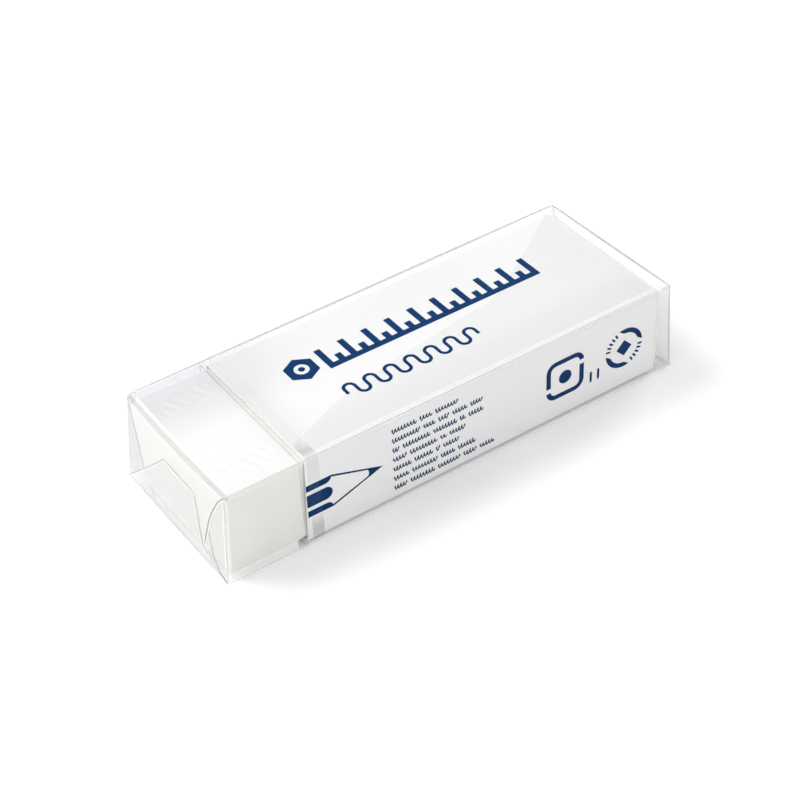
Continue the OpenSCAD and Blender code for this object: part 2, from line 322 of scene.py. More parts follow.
# %% The eraser block
EDGE = 0.4
SINK = 0.2
DROOP, SPREAD = 0.3, 0.3
GRIP_X, GRIP_HALF, GRIP_PITCH, GRIP_DEPTH = BLOCK_LOW[0] + 5.4, 3.4, 1.5, 0.13
GRIP_ASIDE, GRIP_LONG, GRIP_WIDE, GRIP_SLANT = 7.4, 1.3, 0.36, 0.5
inner_low, inner_high = BLOCK_LOW + EDGE, BLOCK_HIGH - EDGE
xs = np.concatenate([np.arange(inner_low[0], SLEEVE_LOW[0] + 1, 0.2),
                     np.linspace(SLEEVE_LOW[0] + 1.5, inner_high[0], 46)])
block_points, block_faces = blown_box(xs, np.linspace(inner_low[1], inner_high[1], 104),
                                      np.linspace(inner_low[2], inner_high[2], 48), EDGE, 7)


def crown(t):
    """1 in the middle of a face and 0 at its edges, with level slopes at both."""
    return np.clip(1 - t ** 2, 0, 1) ** 2


def within(distance, half, wall=0.3):
    """1 nearer than half and 0 farther away, with a straight slope as wide as the wall between."""
    return np.clip((half - np.abs(distance)) / wall + 0.5, 0, 1)


def pressed(x, y):
    """1 inside the slanting grip bars and 0 outside. A bar is a band of x + y * slant."""
    along = (x - GRIP_X + y * GRIP_SLANT) / GRIP_PITCH
    bar = within((along - np.round(along)) * GRIP_PITCH, GRIP_WIDE, 0.2)
    row = np.maximum(within(y - GRIP_ASIDE, GRIP_LONG), within(y + GRIP_ASIDE, GRIP_LONG))
    return bar * row * within(x - GRIP_X, GRIP_HALF)


def sunk(points):
    """Pulls the broad faces in by SINK times the crown of their directions, and presses the grip bars.

    Outside the sleeve the underside droops, and the end face leans out at its foot by SPREAD."""
    made = points.copy()
    middle = (BLOCK_LOW + BLOCK_HIGH) / 2
    half = (BLOCK_HIGH - BLOCK_LOW) / 2
    t = (points - middle) / half
    wide = np.clip(1 - t[:, 0] ** 6, 0, 1)
    made[:, 1] -= SINK * t[:, 1] * crown(t[:, 2]) * wide
    made[:, 2] -= 0.5 * SINK * np.maximum(t[:, 2], 0) * crown(t[:, 1]) * wide
    made[:, 2] -= GRIP_DEPTH * (t[:, 2] > 0.99) * pressed(points[:, 0], points[:, 1])
    low = np.clip(0.5 - t[:, 2] / 2, 0, 1)
    made[:, 2] -= DROOP * low * np.clip((SLEEVE_LOW[0] - 0.5 - points[:, 0]) / 1.5, 0, 1)
    made[:, 0] -= (0.1 + SPREAD * low) * np.clip((BLOCK_LOW[0] + 3 - points[:, 0]) / 3, 0, 1)
    return made


block = piece("eraser_body", (sunk(block_points), block_faces), [VINYL], ["eraser_block"])

# %% [markdown]
# The sleeve is one strip of coated card, creased four times and glued along a lap inside
# its bottom. Its section is a path of straight panels and quarter turns. Carried along the
# block, that path is the middle of a sheet, which then gets the card's thickness. Its mouth
# is cut a little out of square. The coating is smooth and white, the cut edges show the pulp.

# %% Card of the sleeve


def coated_card():
    """Clay-coated folding card: white, satin, with a faint calendered grain."""
    made, tree, output = new_material("coated_folding_card")
    spot = put(tree, "ShaderNodeTexCoord").outputs["Object"]
    # Flocks of the pulp, about 1.1 mm wide, that show faintly through the clay
    cloud = put(tree, "ShaderNodeTexNoise", {"Vector": spot, "Scale": 900.0, "Detail": 4.0, "Roughness": 0.6})
    tone = put(tree, "ShaderNodeMix", {0: cloud.outputs[0], 6: swatch("#F3F3F3"), 7: swatch("#F8F8F8")},
               data_type="RGBA").outputs[2]
    rough = put(tree, "ShaderNodeMapRange", {0: cloud.outputs[0], 3: 0.32, 4: 0.44})
    # Fibre relief of about 0.2 mm, pressed nearly flat by the calender
    fibre = put(tree, "ShaderNodeTexNoise", {"Vector": spot, "Scale": 5000.0, "Detail": 3.0})
    relief = put(tree, "ShaderNodeBump", {"Height": fibre.outputs[0], "Strength": 0.08, "Distance": 0.00003})
    coat = put(tree, "ShaderNodeBsdfPrincipled", {
        "Base Color": tone, "Roughness": rough.outputs[0], "Normal": relief.outputs[0], "IOR": 1.5,
        "Specular IOR Level": 0.15})
    tree.links.new(coat.outputs[0], output.inputs[0])
    return made


def card_pulp():
    """The cut edge of folding card: bare wood pulp, rough and a little warmer than its coating."""
    made, tree, output = new_material("cut_card_pulp")
    spot = put(tree, "ShaderNodeTexCoord").outputs["Object"]
    # Fibre ends about 0.17 mm apart
    fibre = put(tree, "ShaderNodeTexNoise", {"Vector": spot, "Scale": 6000.0, "Detail": 3.0})
    tone = put(tree, "ShaderNodeMix", {0: fibre.outputs[0], 6: swatch("#E6E5E1"), 7: swatch("#F6F5F3")},
               data_type="RGBA").outputs[2]
    relief = put(tree, "ShaderNodeBump", {"Height": fibre.outputs[0], "Strength": 0.4, "Distance": 0.00005})
    pulp = put(tree, "ShaderNodeBsdfPrincipled", {
        "Base Color": tone, "Roughness": 0.9, "Normal": relief.outputs[0]})
    tree.links.new(pulp.outputs[0], output.inputs[0])
    return made


CARD, PULP = coated_card(), card_pulp()

# %% The folded sleeve
CARD_T = 0.3
FOLD_R = 0.75
GLUE_T = 0.05
LAP_W = 16.0
PANEL_SHORT = 0.3
SKEW = 0.25


def folded_path(corners, radius, step, arc=8):
    """Points and left-hand normals along straight runs between corners, each turned by a quarter circle.

    Turn: point = corner - radius * a + radius * b - radius * cos(t) * b + radius * sin(t) * a, with a
    and b the headings before and after it. Each run is then cut into even steps no longer than step."""
    corners = np.array(corners, float)
    runs = np.diff(corners, axis=0)
    heading = (runs / np.linalg.norm(runs, axis=1, keepdims=True))[:, None]
    a, b = heading[:-1], heading[1:]
    t = np.linspace(0, pi / 2, arc + 1)[:, None]
    turns = corners[1:-1, None] - radius * a + radius * b - radius * np.cos(t) * b + radius * np.sin(t) * a
    knots = np.concatenate([corners[:1], turns.reshape(-1, 2), corners[-1:]])
    gaps = np.diff(knots, axis=0)
    cuts = np.maximum(1, np.ceil(np.linalg.norm(gaps, axis=1) / step)).astype(int)
    run = np.repeat(np.arange(len(cuts)), cuts)
    part = (np.arange(len(run)) - np.repeat(np.cumsum(cuts) - cuts, cuts) + 1) / cuts[run]
    path = np.concatenate([knots[:1], knots[run] + gaps[run] * part[:, None]])
    along = np.gradient(path, axis=0)
    along /= np.linalg.norm(along, axis=1, keepdims=True)
    return path, np.stack([-along[:, 1], along[:, 0]], -1)


half_card = CARD_T / 2
side, low_z, top_z = SLEEVE_HIGH[1] - half_card, SLEEVE_LOW[2] + half_card, SLEEVE_HIGH[2] - half_card
lap_z = low_z + CARD_T + GLUE_T
fold_edge = side - FOLD_R
section, facing = folded_path([
    (fold_edge - PANEL_SHORT, low_z), (-side, low_z), (-side, top_z), (side, top_z), (side, lap_z),
    (fold_edge - LAP_W, lap_z)], FOLD_R, 1.2)
edge_rows = np.array([0, 0.15, 0.5, 1.2, 2.5])
sleeve_xs = np.concatenate([SLEEVE_LOW[0] + edge_rows, np.linspace(SLEEVE_LOW[0] + 5, SLEEVE_HIGH[0] - 5, 28),
                            SLEEVE_HIGH[0] - edge_rows[::-1]])
middle = np.empty((len(sleeve_xs), len(section), 3))
middle[..., 0] = sleeve_xs[:, None]
middle[..., 1:] = section
tilt = 2 * (section[:, 1] - low_z) / (top_z - low_z) - 1
middle[..., 0] += SKEW * tilt * np.clip(1 - (sleeve_xs[:, None] - SLEEVE_LOW[0]) / 4, 0, 1)
normal = np.zeros_like(middle)
normal[..., 1:] = facing
card_surface = sheet(middle, normal, CARD_T)
rim = np.zeros(len(card_surface[1]), int)
rim[2 * (len(sleeve_xs) - 1) * (len(section) - 1):] = 1
sleeve = piece("card_sleeve_fold", card_surface, [CARD, PULP], ["card_sleeve"], slots=rim)
soften = sleeve.modifiers.new("worn_edge", "BEVEL")
soften.width, soften.segments, soften.limit_method, soften.angle_limit = 0.06 * MM, 2, "ANGLE", radians(60)

# %% [markdown]
# The print is offset ink: a thin film of blue that lets a trace of the card through, so its
# depth wavers a little from spot to spot. The flat fields and lines are CAD nodes that stay
# as they are and only get this ink. The dried glue under the lap is a pale satin film.

# %% Ink and glue on the CAD nodes


def offset_ink(name, deep, thin):
    """Blue offset ink on coated card: satin, its depth wavering over about 0.4 mm."""
    made, tree, output = new_material(name)
    spot = put(tree, "ShaderNodeTexCoord").outputs["Object"]
    mottle = put(tree, "ShaderNodeTexNoise", {"Vector": spot, "Scale": 2500.0, "Detail": 3.0})
    tone = put(tree, "ShaderNodeMix", {0: mottle.outputs[0], 6: swatch(deep), 7: swatch(thin)},
               data_type="RGBA").outputs[2]
    rough = put(tree, "ShaderNodeMapRange", {0: mottle.outputs[0], 3: 0.3, 4: 0.45})
    ink = put(tree, "ShaderNodeBsdfPrincipled", {
        "Base Color": tone, "Roughness": rough.outputs[0], "IOR": 1.5, "Specular IOR Level": 0.03})
    tree.links.new(ink.outputs[0], output.inputs[0])
    return made


def dried_glue():
    """Dispersion glue, dried: pale, satin, with pulled bubbles."""
    made, tree, output = new_material("dried_dispersion_glue")
    spot = put(tree, "ShaderNodeTexCoord").outputs["Object"]
    # Bubbles about 0.8 mm wide
    bubble = put(tree, "ShaderNodeTexVoronoi", {"Vector": spot, "Scale": 1200.0})
    tone = put(tree, "ShaderNodeMix", {0: bubble.outputs[0], 6: swatch("#E9E4CF"), 7: swatch("#DDD6BC")},
               data_type="RGBA").outputs[2]
    glue = put(tree, "ShaderNodeBsdfPrincipled", {"Base Color": tone, "Roughness": 0.4})
    tree.links.new(glue.outputs[0], output.inputs[0])
    return made


def finish_node(node, material):
    """Gives a CAD node its material."""
    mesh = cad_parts[node].data
    mesh.materials.clear()
    mesh.materials.append(material)


# The top's ink is a little lighter than the front's: painted light on the top face
FRONT_INK = offset_ink("offset_ink_front", "#002C5C", "#03356A")
TOP_INK = offset_ink("offset_ink_top", "#003262", "#043A70")
PEN_INK = offset_ink("offset_ink_pen", "#1C3A64", "#264470")
finish_node("front_print", FRONT_INK)
finish_node("top_print", TOP_INK)
finish_node("lap_glue", dried_glue())

# %% [markdown]
# The small rows beside the pencil figure are scribbled lines: one thin pen line per word,
# bending up and down, so that they read as rows of small print without saying anything.
# Each is a flat ribbon that follows a sine, as thick as the ink.

# %% Rows of scribble
ROWS = [[3.6, 1.8, 3.4], [4.1, 1.7, 1.6, 2.2, 1.9], [1.0, 4.0, 3.5, 0.8, 2.2], [2.0, 4.0, 0.9, 2.4],
        [2.6, 2.7, 0.6, 2.4], [2.2, 3.8, 2.1, 2.6], [1.9, 3.6, 3.4, 2.0, 2.2]]
WORD_GAP, ROW_PITCH = 0.5, 1.49
PEN_W, BEND_PITCH, BEND_H = 0.15, 0.44, 0.68


def scribble(start, length, height, rng):
    """Middle line of one word: x runs on evenly, z = height * sin(2 pi x / pitch), its swing varying."""
    bends = max(2, round(length / BEND_PITCH * 2))
    t = np.linspace(0, bends, bends * 8 + 1)
    swing = np.interp(t, np.arange(bends + 1), rng.uniform(0.7, 1.15, bends + 1))
    x = start + length * t / bends
    return np.stack([x + 0.06 * np.sin(2 * pi * t / 2 + 1), height + BEND_H / 2 * swing * np.sin(pi * t)], -1)


def ribbon(line, width, y):
    """A flat ribbon of ink along a line on the front panel: half the width to each side."""
    along = np.gradient(line, axis=0)
    along /= np.linalg.norm(along, axis=1, keepdims=True)
    side = np.stack([-along[:, 1], along[:, 0]], -1) * width / 2
    flat = np.stack([line + side, line - side], 1)
    middle = np.stack([flat[..., 0], np.full(flat.shape[:2], y), flat[..., 1]], -1)
    return middle, np.tile([0.0, -1.0, 0.0], (*flat.shape[:2], 1))


rng = np.random.default_rng(7)
ink_t = SLEEVE_LOW[1] - ROWS_LOW[1]
middle_z = (ROWS_LOW[2] + ROWS_HIGH[2]) / 2
words = []
for number, row in enumerate(ROWS):
    x = ROWS_LOW[0] + PEN_W / 2
    for length in row:
        line = scribble(x, length, middle_z + (3 - number) * ROW_PITCH, rng)
        middle, normal = ribbon(line, PEN_W, SLEEVE_LOW[1] - ink_t / 2)
        words.append(sheet(middle, normal, ink_t))
        x += length + WORD_GAP
piece("row_scribble", joined(words), [PEN_INK], ["row_print"], merge=1e-5)

# %% [markdown]
# The wrap is cast polypropylene film, heat-sealed. It is clear and glossy, so what shows is
# its mirror image of the room, stronger at a flat angle, and the dark lines where the film
# turns away. A wall is far thinner than a ray notices, so the light goes straight through
# and only one of its two faces mirrors.

# %% Clear film


def clear_film(name, haze, clear, dark, sharpness=8.0, rough=0.04, veil="#EAEAEA", lit_through=0.2):
    """Thin clear film: mirror share 0.001 + 0.8 * f ** 5 with f = 1 - cos(angle).

    Its tint runs from clear to dark as the film turns away, by f ** sharpness. haze is the share
    of milky veil in it, and lit_through the share of that veil that is lit from behind."""
    made, tree, output = new_material(name)
    spot = put(tree, "ShaderNodeTexCoord").outputs["Object"]
    # Slack ripples of about 6 mm
    ripple = put(tree, "ShaderNodeTexNoise", {"Vector": spot, "Scale": 160.0, "Detail": 1.0})
    relief = put(tree, "ShaderNodeBump", {"Height": ripple.outputs[0], "Strength": 0.12, "Distance": 0.0002})
    turned = put(tree, "ShaderNodeLayerWeight", {"Blend": 0.5}).outputs["Facing"]
    fifth = put(tree, "ShaderNodeMath", {0: turned, 1: 5.0}, operation="POWER").outputs[0]
    share = put(tree, "ShaderNodeMath", {0: fifth, 1: 0.8, 2: 0.001},
                operation="MULTIPLY_ADD", use_clamp=True).outputs[0]
    inner = put(tree, "ShaderNodeNewGeometry").outputs["Backfacing"]
    outer = put(tree, "ShaderNodeMath", {0: 1.0, 1: inner}, operation="SUBTRACT").outputs[0]
    mirror = put(tree, "ShaderNodeMath", {0: share, 1: outer}, operation="MULTIPLY").outputs[0]
    bend = put(tree, "ShaderNodeMath", {0: turned, 1: sharpness}, operation="POWER").outputs[0]
    tint = put(tree, "ShaderNodeMix", {0: bend, 6: swatch(clear), 7: swatch(dark)},
               data_type="RGBA").outputs[2]
    through = put(tree, "ShaderNodeBsdfTransparent", {"Color": tint}).outputs[0]
    front = put(tree, "ShaderNodeBsdfDiffuse", {"Color": swatch(veil)}).outputs[0]
    behind = put(tree, "ShaderNodeBsdfTranslucent", {"Color": swatch(veil)}).outputs[0]
    cloud = put(tree, "ShaderNodeMixShader", {0: lit_through, 1: front, 2: behind}).outputs[0]
    hazy = put(tree, "ShaderNodeMixShader", {0: haze, 1: through, 2: cloud}).outputs[0]
    gloss = put(tree, "ShaderNodeBsdfGlossy", {"Roughness": rough, "Normal": relief.outputs[0]}).outputs[0]
    whole = put(tree, "ShaderNodeMixShader", {0: mirror, 1: hazy, 2: gloss}).outputs[0]
    open_way = put(tree, "ShaderNodeBsdfTransparent", {"Color": swatch("#FAFAFA")}).outputs[0]
    seen = put(tree, "ShaderNodeMixShader", {0: seen_directly(tree), 1: open_way, 2: whole}).outputs[0]
    tree.links.new(seen, output.inputs[0])
    return made


# Flat film, all but unseen, and its round bends: the eye looks along more film, which turns milky
FILM = clear_film("cast_polypropylene_film", 0.002, "#FAFAFA", "#C8C8C8")
BENT_FILM = clear_film("bent_polypropylene_film", 0.22, "#FAFAFA", "#D0D0D0", 2.0, veil="#FFFFFF")
# Film that lies in folds on the table shows nearly white, and so do the layers beside the tucks
FOOT_FILM = clear_film("bunched_film_at_the_foot", 0.47, "#FAFAFA", "#D0D0D0", 2.0, veil="#FFFFFF")
END_SIDE = clear_film("tucked_film_side", 0.35, "#E8E8E8", "#C8C8C8", veil="#FFFFFF")
# Over the bare end, slack film is slightly cloudy, and its upper edge is pulled thin and grey
MILKY = clear_film("loose_film_over_the_bare_end", 0.1, "#FBFBFD", "#D8D8D8", veil="#EFEFF2")
PULLED = clear_film("pulled_film_edge", 0.12, "#EEEEEE", "#C0C0C0", 2.0, veil="#F0F0F0")
# Layers welded by a hot plate: greyer than one layer, and lit from behind at the far end
FLAP = clear_film("welded_film_layers", 0.15, "#FCFCFC", "#C8C8C8", veil="#F0F0F0")
TUCK = clear_film("tucked_film_layers", 0.15, "#F6F6F6", "#C8C8C8")
FAR_FLAP = clear_film("welded_film_layers_far", 0.4, "#FCFCFC", "#DCDCDC", veil="#FFFFFF", lit_through=0.6)
# Creases: grey lines where the film is bent sharply, and white ones where it has stretched and whitened. The
# white ones are also painted highlights along folds and edges
CREASE = clear_film("creased_film", 0.15, "#E8E8E8", "#AEAEAE", 1.5, 0.15)
FAR_CREASE = clear_film("creased_film_far", 0.3, "#F0F0F0", "#C4C4C4", 1.5, 0.15, lit_through=0.6)
WHITE_CREASE_AND_HIGHLIGHT = clear_film("whitened_film_and_painted_highlight", 0.6, "#FAFAFA", "#D0D0D0", 3.0, 0.15, "#FFFFFF")
SEAM = clear_film("heat_set_film_edge", 0.05, "#E8E8E8", "#BCBCBC", 3.0, 0.15)
STEP = clear_film("stretched_film_step", 0.25, "#F2F2F2", "#C0C0C0", 3.0, 0.15)


def tear_tape_film():
    """Self-adhesive tear tape: unseen where it lies loose, and dulling the card where it clings."""
    made, tree, output = new_material("tear_tape_film")
    cling = put(tree, "ShaderNodeAttribute", attribute_name="cling").outputs["Fac"]
    tint = put(tree, "ShaderNodeMix", {0: cling, 6: swatch("#FFFFFF"), 7: swatch("#EDEDED")},
               data_type="RGBA").outputs[2]
    through = put(tree, "ShaderNodeBsdfTransparent", {"Color": tint}).outputs[0]
    open_way = put(tree, "ShaderNodeBsdfTransparent").outputs[0]
    gloss = put(tree, "ShaderNodeBsdfGlossy", {"Roughness": 0.2}).outputs[0]
    skin = put(tree, "ShaderNodeMixShader", {0: 0.01, 1: through, 2: gloss}).outputs[0]
    seen = put(tree, "ShaderNodeMixShader", {0: seen_directly(tree), 1: open_way, 2: skin}).outputs[0]
    tree.links.new(seen, output.inputs[0])
    return made


TAPE = tear_tape_film()

# %% [markdown]
# The wrap itself is one closed bag: an outer and an inner skin, both blown up from the same
# core box. The film isn't stretched like a drum. Its panels sag a little between the edges,
# and its ends lean in towards the top, where the flaps pull.

# %% The film bag
FILM_T = 0.05
BEND = 0.45
FOLD_ROOM = 0.2
END_FROM, END_OVER = 0.8, 0.19
NEAR_OUT, NEAR_LEAN, NEAR_BULGE = 0.3, 0.95, 0.25
FAR_OUT, FAR_LEAN, FAR_TWIST = 0.25, 0.6, 0.2
FOOT_FRONT, HEAD_FRONT = (11.87, 12.05), (11.82, 11.7)
FOOT_BACK, HEAD_BACK, EAR = (12.1, 12.1), (11.75, 12.3), 0.8
height = FILM_HIGH[2] - FILM_LOW[2]
core_low, core_high = FILM_LOW + BEND, FILM_HIGH - BEND
core_low[0] += FOLD_ROOM
core_high[0] -= FOLD_ROOM


def end_share(x):
    """1 at the end that x runs towards, falling as a square to 0 a fifth of the way in."""
    return np.clip((x / FILM_HIGH[0] - END_FROM) / END_OVER, 0, 1) ** 2


def slack(points):
    """Moves film points a little: the foot is wider than the head, and the panels sag by slow waves.

    The ends and the sides lean in evenly with height. Of each pair of reaches the first is that
    of the near end. There the flaps bulge a little, and the back corner of the foot is drawn
    out into an ear."""
    made = points.copy()
    x, y, z = points.T
    t = z / height
    side = y / FILM_HIGH[1]
    bulge = NEAR_BULGE * np.clip(1 - side ** 2, 0, 1) * np.clip(4 * t, 0, 1)
    made[:, 0] -= end_share(-x) * (NEAR_OUT - NEAR_LEAN * t + bulge)
    made[:, 0] += end_share(x) * (FAR_OUT - (FAR_LEAN + FAR_TWIST * side) * t)
    ear = EAR * (1 - t) * np.clip(-x / FILM_HIGH[0] - 0.4, 0, 1) / 0.6
    along = np.clip(x / FILM_HIGH[0] / 2 + 0.5, 0, 1)
    foot_back, head_back, foot_front, head_front = (
        near + (far - near) * along for near, far in (FOOT_BACK, HEAD_BACK, FOOT_FRONT, HEAD_FRONT))
    back_reach = foot_back + (head_back - foot_back) * t + ear
    front_reach = foot_front + (head_front - foot_front) * t
    made[:, 1] = side * np.where(y > 0, back_reach, front_reach)
    # The top sags in waves about 20 and 8 mm long, the sides in waves of about 23 and 9 mm
    span = np.clip(1 - (x / FILM_HIGH[0]) ** 8, 0, 1)
    top = np.clip(t * 2 - 1, 0, 1) ** 3 * crown(y / FILM_HIGH[1])
    made[:, 2] -= top * (0.02 + 0.012 * np.sin(0.31 * x + 0.25 * y + 1) + 0.004 * np.sin(0.83 * x + 2)) * span
    side = np.sign(y) * np.clip(np.abs(y) / FILM_HIGH[1], 0, 1) ** 12 * crown(2 * t - 1)
    made[:, 1] -= side * (0.12 + 0.05 * np.sin(0.27 * x + 2) + 0.03 * np.sin(0.71 * x)) * span
    return made


film_xs = np.linspace(core_low[0], core_high[0], 60)
film_ys = np.linspace(core_low[1], core_high[1], 72)
film_zs = np.linspace(core_low[2], core_high[2], 40)
outer_skin = blown_box(film_xs, film_ys, film_zs, BEND, 8)
inner_skin = blown_box(film_xs, film_ys, film_zs, BEND - FILM_T, 8)
bag = joined([(slack(outer_skin[0]), outer_skin[1]), (slack(inner_skin[0]), inner_skin[1][:, ::-1])])


FLAT, BEND_ZONE, NEAR_END, FAR_END, FOOT_ZONE, BACK_SIDE, NEAR_EDGE, BARE_TOP = range(8)
BAG_FILMS = [FILM, BENT_FILM, FLAP, FAR_FLAP, FOOT_FILM, END_SIDE, PULLED, MILKY]
FOOT_H = 1.65


def kind_of_face(points, faces):
    """The zone of the bag that each face is in, as its place in BAG_FILMS.

    A face is on a bend where it lies beyond the core box in two directions or more."""
    centre = points[faces].mean(1)
    x, y, z = centre.T
    beyond = np.abs(centre - np.clip(centre, core_low, core_high)) > 0.002
    on_end, on_side, on_flat = beyond.T
    kind = np.select([beyond.sum(1) > 1, on_end & (x < 0), on_end],
                     [BEND_ZONE, NEAR_END, FAR_END], FLAT)
    foot = (z < np.where(x < SLEEVE_LOW[0] - 1.4, FOOT_H, core_low[2])) & (on_end | on_side)
    tucked = on_side & (x < BLOCK_LOW[0] + 0.8) & (y > 0)
    pulled = on_end & on_flat & (x < 0) & (z > 1)
    loose = (kind == FLAT) & (z > 1) & on_flat & (x < SLEEVE_LOW[0] - 0.2)
    return np.select([foot, tucked, pulled, loose], [FOOT_ZONE, BACK_SIDE, NEAR_EDGE, BARE_TOP], kind)


kinds = np.concatenate([kind_of_face(*outer_skin), kind_of_face(*inner_skin)])
piece("film_bag", bag, BAG_FILMS, ["film_wrap"], slots=kinds)

# %% [markdown]
# Each end is folded like a parcel: the sides are tucked in, then the top flap comes down
# and the bottom flap goes up over it, and a hot plate welds them. A flap is a trapezium
# whose slanting sides are the folds over the tucks. Here each flap is a thin sheet between
# two side lines, and each fold is a fine bead, because creased film is a tiny round bend.

# %% End flaps and creases


def smooth_line(points, count):
    """A line through the given (across, up) points, with rounded turns, as count even steps."""
    points = np.array(points, float)
    reach = np.concatenate([[0], np.cumsum(np.linalg.norm(np.diff(points, axis=0), axis=1))])
    s = np.linspace(0, reach[-1], count * 4)
    line = np.stack([np.interp(s, reach, points[:, k]) for k in (0, 1)], -1)
    kernel = np.hanning(2 * max(1, count // 12) * 4 + 1)
    kernel /= kernel.sum()
    pad = len(kernel) // 2
    padded = np.concatenate([2 * line[0] - line[pad:0:-1], line, 2 * line[-1] - line[-2:-pad - 2:-1]])
    line = np.stack([np.convolve(padded[:, k], kernel, "valid") for k in (0, 1)], -1)
    return line[np.linspace(0, len(line) - 1, count).round().astype(int)]


def end_plane(across_up, end, lift):
    """Places (across, up) points on an end of the bag, lifted outwards. end is -1 near and 1 far."""
    y, z = across_up[..., 0] * FILM_HIGH[1] / 12, across_up[..., 1]
    x = np.broadcast_to(end * (FILM_HIGH[0] - FOLD_ROOM + lift), y.shape)
    points = np.stack([x, y, z], -1)
    return slack(points.reshape(-1, 3)).reshape(points.shape)


def flap(back_side, front_side, end, lift, swell, count=60):
    """A sheet between its two side folds, from the hinge to the free edge.

    It stands off by lift, and by swell more along the side folds, where the film is springy."""
    back_line, front_line = smooth_line(back_side, count), smooth_line(front_side, count)
    t = np.linspace(0, 1, 90)[None, :, None]
    spread = back_line[:, None] * (1 - t) + front_line[:, None] * t
    edge = np.exp(-(t[..., 0] / 0.05) ** 2) + np.exp(-((1 - t[..., 0]) / 0.05) ** 2)
    arch = np.sin(pi * np.linspace(0, 1, count))[:, None] ** 0.5
    middle = end_plane(spread, end, lift + swell * edge * arch)
    outside = np.tile([float(end), 0.0, 0.0], (*middle.shape[:2], 1))
    return sheet(middle, outside, FILM_T)


def bead(line, end, lift, radius, count=60):
    """A crease as a thin tube that fades out at both its ends."""
    path = end_plane(smooth_line(line, count), end, lift)
    fade = np.clip(np.sin(pi * np.linspace(0, 1, count)), 0, 1) ** 0.25
    return tube(path, radius * fade)


# Lines of (across, up) points, across being towards the back. The folds meet the corners at W and H
W, H = 11.85, height - 0.15
TOP_BACK = [(11.4, H), (9.2, 8.5), (7.7, 4.7), (7.4, 3.9)]
TOP_FRONT = [(-W, H), (-10.4, 11.9), (-8.5, 8.4), (-7.5, 5.4), (-6.9, 3.0)]
BOTTOM_BACK = [(W, 0.15), (2.25, 9.8)]
BOTTOM_FRONT = [(-W, 0.1), (-8.9, 1.0), (-6.9, 2.0), (-6.4, 2.8), (-5.7, 6.1), (-5.0, 9.55)]
BACK_TUCK = [(W - 0.3, H), (9.2, 8.5), (7.6, 4.6), (9.5, 2.5), (W - 0.3, 0.15)]
FRONT_TUCK = [(0.3 - W, H), (-10.4, 11.9), (-8.5, 8.4), (-7.5, 5.4), (-6.9, 2.4), (-8.9, 1.0),
              (0.3 - W, 0.15)]
FREE_EDGE = [BOTTOM_BACK[-1], BOTTOM_FRONT[-1]]
TUCK_LIFT, TOP_LIFT, BOTTOM_LIFT = 0.02, 0.06, 0.13


def moved(line, across, up=0.0):
    """The same line shifted."""
    return [(p[0] + across, p[1] + up) for p in line]


# Line, lift and radius of each crease, and of the white lines beside them: whitened film and painted
# highlights in one
DARK_LINES = [(TOP_BACK, 0.1, 0.05), (TOP_FRONT, 0.1, 0.09), (BOTTOM_BACK, 0.14, 0.05),
              (BOTTOM_FRONT, 0.14, 0.06), (FREE_EDGE, 0.15, 0.045), ([(6.4, 3.5), (4.6, 0.5)], 0.14, 0.03),
              ([(-8.0, 6.0), (-8.7, 2.3), (-10.3, 0.6), (-W, 0.3)], 0.08, 0.05)]
WHITE_LINES = [(moved(BOTTOM_BACK, -0.2, -0.1), 0.14, 0.06), (moved(BOTTOM_FRONT, 0.22), 0.14, 0.06),
               (moved(FREE_EDGE, 0, -0.18), 0.15, 0.06), (moved(TOP_FRONT, -0.3), 0.1, 0.08),
               ([(-W + 0.3, H - 0.4), (-W + 0.3, 0.6)], 0.08, 0.08)]


def end_folds(tag, end, film, crease):
    """The tucks, the two flaps and the creases of one end. Beside some folds, white beads stand for whitened
    film and paint the highlights on the folds.
    """
    tucks = [flap([(side * W, H), (side * W, 0.15)], line, end, TUCK_LIFT, 0)
             for side, line in ((1, BACK_TUCK), (-1, FRONT_TUCK))]
    piece(f"film_tucks_{tag}", joined(tucks), [TUCK])
    piece(f"film_top_flap_{tag}", flap(TOP_BACK, TOP_FRONT, end, TOP_LIFT, 0.03), [film])
    bottom_flap = flap(BOTTOM_BACK, BOTTOM_FRONT, end, BOTTOM_LIFT, 0.02)
    piece(f"film_bottom_flap_{tag}", bottom_flap, [film])
    creases = [bead(line, end, lift, radius) for line, lift, radius in DARK_LINES]
    piece(f"film_creases_{tag}", joined(creases), [crease])
    # White beads: whitened film, and painted highlights beside the folds
    whitened_and_highlights = [bead(line, end, lift, radius) for line, lift, radius in WHITE_LINES]
    piece(f"film_white_creases_{tag}", joined(whitened_and_highlights), [WHITE_CREASE_AND_HIGHLIGHT])
    piece(f"film_foot_{tag}", bead([(W, 0.15), (-W, 0.15)], end, 0.0, 0.14), [SEAM])


end_folds("near", -1, FLAP, CREASE)
end_folds("far", 1, FAR_FLAP, FAR_CREASE)

# %% [markdown]
# The top of the card is lit unevenly. There is a pool of light with a crisp curved border, and less light
# towards the front and the far edge. That shade is painted: a thin clear layer under the top panel,
# from the curved border to the front and the far edge, darkens the card. Beyond the border a second
# layer paints a softer shade over the back of the top and darkens a strip along the sleeve's mouth.

